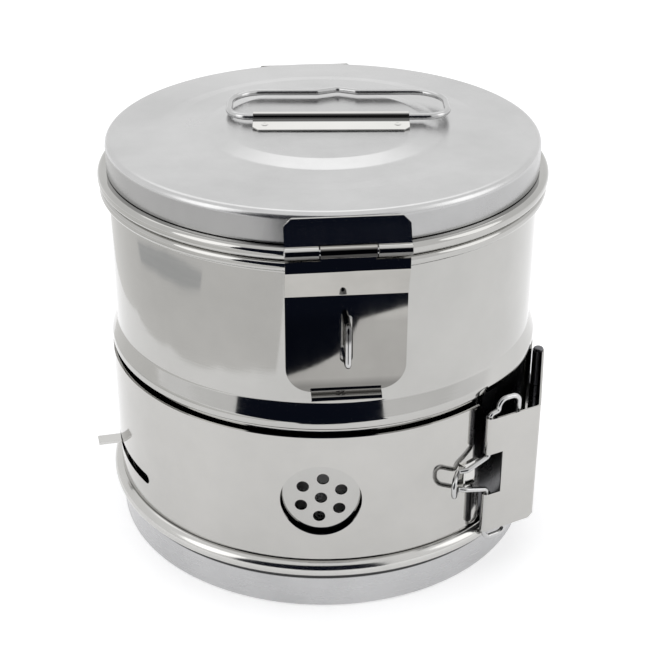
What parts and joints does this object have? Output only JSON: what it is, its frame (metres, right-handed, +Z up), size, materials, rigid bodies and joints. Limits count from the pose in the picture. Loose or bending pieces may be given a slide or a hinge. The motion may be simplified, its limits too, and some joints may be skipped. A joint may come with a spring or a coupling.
{
  "type": "sterilization drum",
  "caption": "Round stainless drum for sterilizing dressings: hinged lid with bail handle and hasp, turning vent band with a wire-hook clamp.",
  "frame": {"origin": "centre of the flat underside of the base, on the drum's axis", "axes": "+Z up along the drum's axis, the hasp faces -Y, the vent band's clamp is towards +X"},
  "size_m": [0.1674, 0.1673, 0.155],
  "materials": {
    "wall": "polished stainless sheet",
    "base": "satin stainless sheet",
    "lid": "satin stainless sheet",
    "fitting_drum": "polished stainless",
    "fitting_lid": "polished stainless",
    "pins": "polished stainless",
    "wire": "drawn stainless wire",
    "hasp": "mirror-polished stainless sheet",
    "band": "mirror-polished stainless sheet",
    "clamp": "polished stainless sheet"
  },
  "bodies": {
    "drum": {"body_shell": "wall", "neck_collar": "wall", "base_pan": "base", "stop_tab": "fitting_drum", "hasp_staple": "fitting_drum", "rear_body_leaf": "fitting_drum", "rear_hinge_pin": "pins"},
    "lid": {"lid_shell": "lid", "handle_bracket": "fitting_lid", "hasp_lid_leaf": "fitting_lid", "hasp_pin": "pins", "rear_lid_leaf": "fitting_lid"},
    "bail": {"bail_handle": "wire"},
    "hasp": {"hasp_plate": "hasp"},
    "band": {"vent_band": "band", "band_hinge_leaf": "band", "lever_pin": "pins", "catch_plate": "band"},
    "lever": {"lever_plate": "clamp"},
    "hook": {"wire_hook": "wire"}
  },
  "joints": [
    {"name": "lid_open", "type": "hinge", "parent": "drum", "child": "lid", "pos_m": [0, 0.08133, 0.1386], "axis": [-1, 0, 0], "range_deg": [0, 105]},
    {"name": "bail_swing", "type": "hinge", "parent": "lid", "child": "bail", "pos_m": [0.00277, -0.00044, 0.1531], "axis": [0.9962, -0.0872, 0], "range_deg": [0, 178]},
    {"name": "hasp_swing", "type": "hinge", "parent": "lid", "child": "hasp", "pos_m": [0, -0.08133, 0.1386], "axis": [-1, 0, 0], "range_deg": [0, 150]},
    {"name": "band_turn", "type": "hinge", "parent": "drum", "child": "band", "pos_m": [0, 0, 0.045], "axis": [0, 0, 1], "range_deg": [-20, 0]},
    {"name": "lever_swing", "type": "hinge", "parent": "band", "child": "lever", "pos_m": [0.07827, -0.01923, 0.044], "axis": [0, 0, 1], "range_deg": [0, 115]},
    {"name": "hook_swing", "type": "hinge", "parent": "lever", "child": "hook", "pos_m": [0.05107, -0.06467, 0.044], "axis": [0, 0, 1], "range_deg": [0, 15]}
  ]
}
